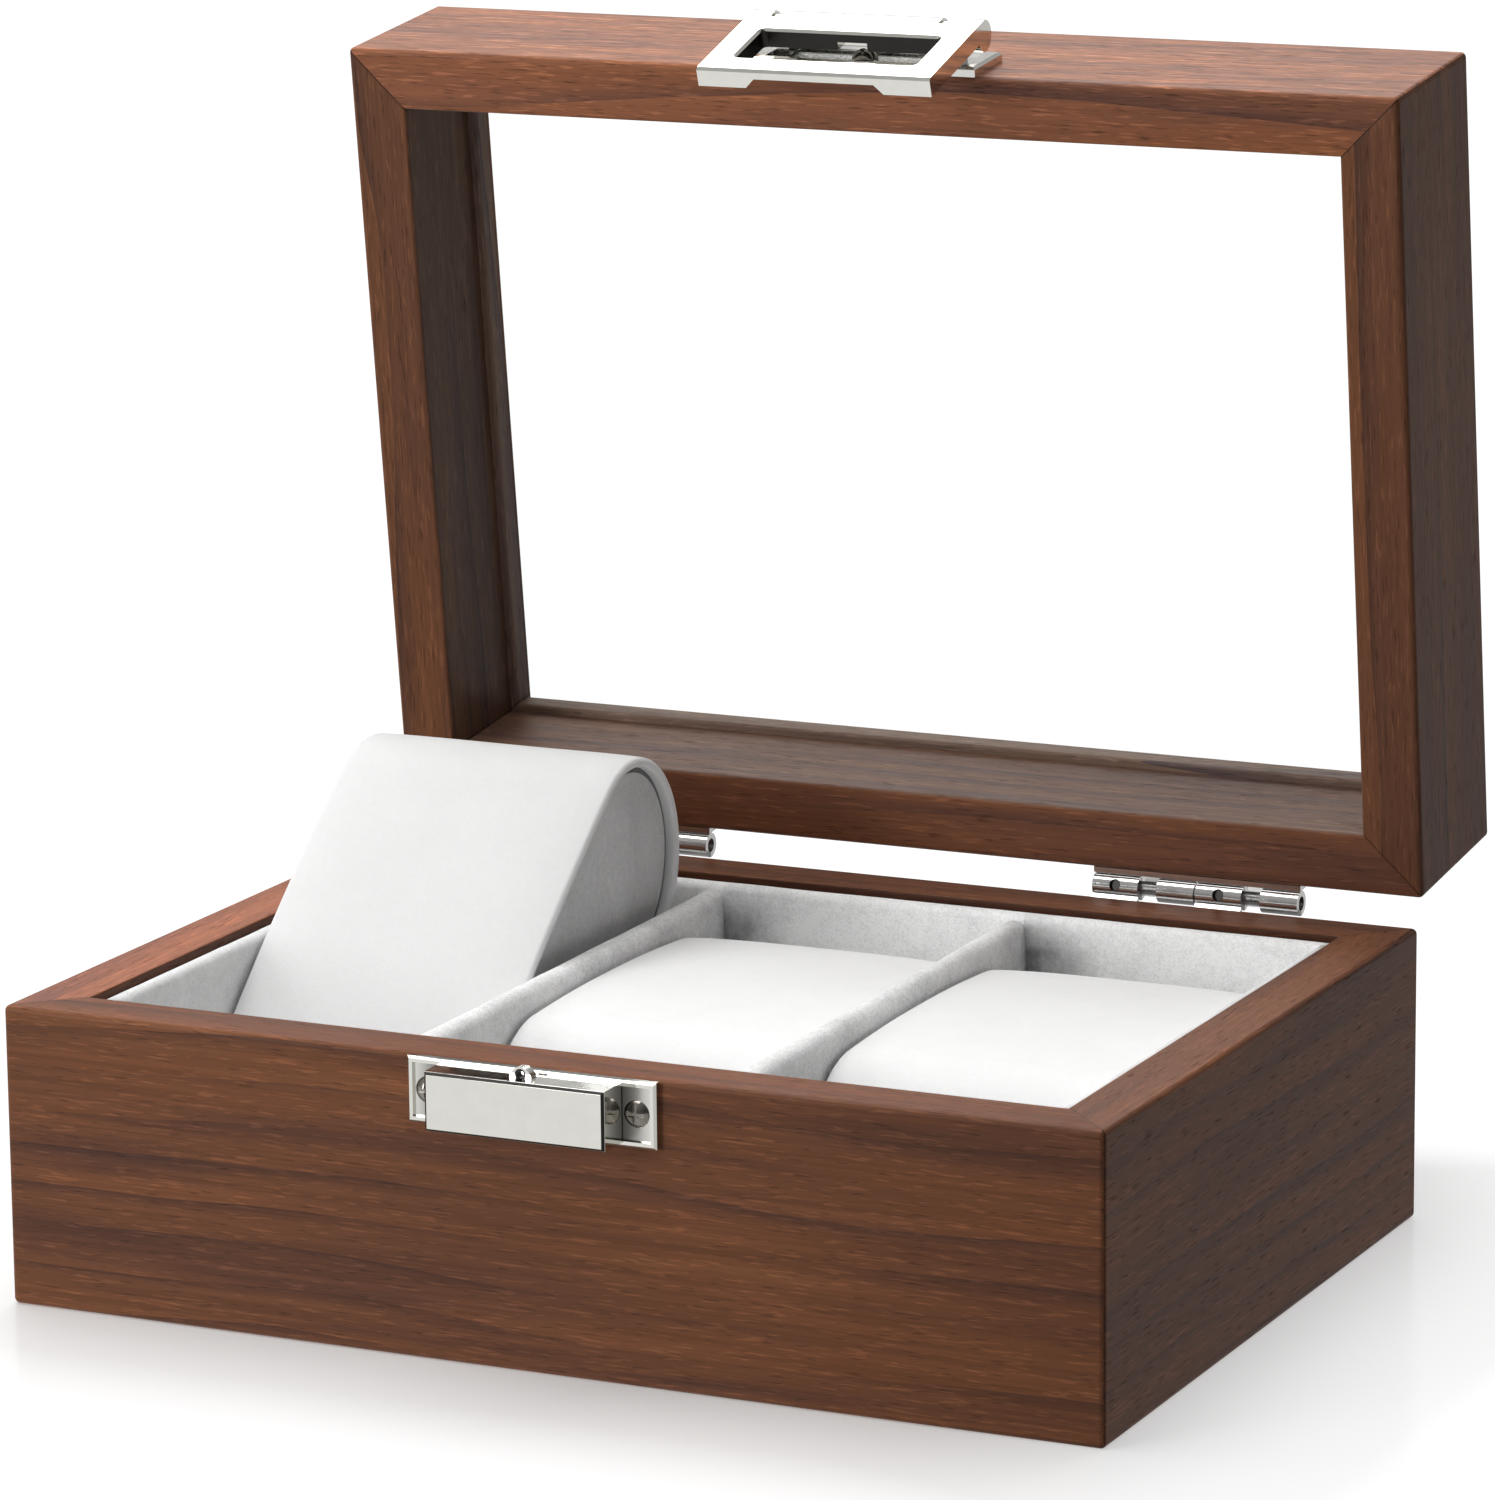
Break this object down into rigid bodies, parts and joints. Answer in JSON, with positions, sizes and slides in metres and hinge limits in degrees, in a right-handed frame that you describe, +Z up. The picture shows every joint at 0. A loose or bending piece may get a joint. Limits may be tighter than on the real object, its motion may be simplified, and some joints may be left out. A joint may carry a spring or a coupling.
{
  "type": "watch box",
  "caption": "Open wooden watch box with a glazed hinged lid, velvet-lined compartments, loose watch pillows, barrel hinges and a flip hasp that latches on a keeper block.",
  "frame": {"origin": "centre of the underside of the base, on the surface it stands on", "axes": "+X to the right seen from the front, +Y to the back where the hinges are, +Z up"},
  "size_m": [0.2, 0.1869, 0.2082],
  "materials": {
    "walnut": "satin reddish-brown walnut with fine dark pores",
    "panel": "plain wood panel",
    "felt": "dark felt",
    "lining_velvet": "short pale grey velvet",
    "pillow_velvet": "short pale grey velvet",
    "foam": "soft foam",
    "glass": "clear",
    "chrome": "polished plating",
    "steel": "drawn wire and pin stock"
  },
  "bodies": {
    "base": {"base_back_wall": "walnut", "base_front_wall": "walnut", "base_left_wall": "walnut", "base_right_wall": "walnut", "bottom_felt": "felt", "bottom_panel": "panel", "catch_spring": "steel", "divider_1": "lining_velvet", "divider_2": "lining_velvet", "floor_pad": "lining_velvet", "hinge_base_leaf_left": "chrome", "hinge_base_leaf_right": "chrome", "hinge_base_screws": "chrome", "hinge_pin_left": "steel", "hinge_pin_right": "steel", "keeper": "chrome", "keeper_screws": "chrome", "lining_back": "lining_velvet", "lining_front": "lining_velvet", "lining_left": "lining_velvet", "lining_right": "lining_velvet"},
    "lid": {"glass_bead_back": "walnut", "glass_bead_front": "walnut", "glass_bead_left": "walnut", "glass_bead_right": "walnut", "hasp_pin": "steel", "hasp_plate": "chrome", "hasp_screw": "chrome", "hinge_lid_leaf_left": "chrome", "hinge_lid_leaf_right": "chrome", "hinge_lid_screws": "chrome", "lid_back_rail": "walnut", "lid_front_rail": "walnut", "lid_glass": "glass", "lid_left_rail": "walnut", "lid_right_rail": "walnut"},
    "hasp": {"hasp_frame": "chrome"},
    "catch": {"catch_nub": "chrome"},
    "pillow_left": {"pillow_left_band": "pillow_velvet", "pillow_left_ends": "pillow_velvet", "pillow_left_foam": "foam"},
    "pillow_middle": {"pillow_middle_band": "pillow_velvet", "pillow_middle_ends": "pillow_velvet", "pillow_middle_foam": "foam"},
    "pillow_right": {"pillow_right_band": "pillow_velvet", "pillow_right_ends": "pillow_velvet", "pillow_right_foam": "foam"}
  },
  "joints": [
    {"name": "lid_hinge", "type": "hinge", "parent": "base", "child": "lid", "pos_m": [0, 0.0749, 0.0536], "axis": [-1, 0, 0], "range_deg": [-83.4, 0]},
    {"name": "hasp_swing", "type": "hinge", "parent": "lid", "child": "hasp", "pos_m": [0, 0.06297, 0.20544], "axis": [-1, 0, 0], "range_deg": [0, 100]},
    {"name": "catch_press", "type": "slide", "parent": "base", "child": "catch", "axis": [0, 0, -1], "range_m": [0, 0.0012], "stiffness_N_per_m": 250, "springref_m": -0.0008, "deforming": ["catch_spring"]},
    {"name": "pillow_left_lift", "type": "slide", "parent": "base", "child": "pillow_left", "axis": [0, 0, 1], "range_m": [0, 0.06]},
    {"name": "pillow_middle_lift", "type": "slide", "parent": "base", "child": "pillow_middle", "axis": [0, 0, 1], "range_m": [0, 0.06]},
    {"name": "pillow_right_lift", "type": "slide", "parent": "base", "child": "pillow_right", "axis": [0, 0, 1], "range_m": [0, 0.06]}
  ]
}
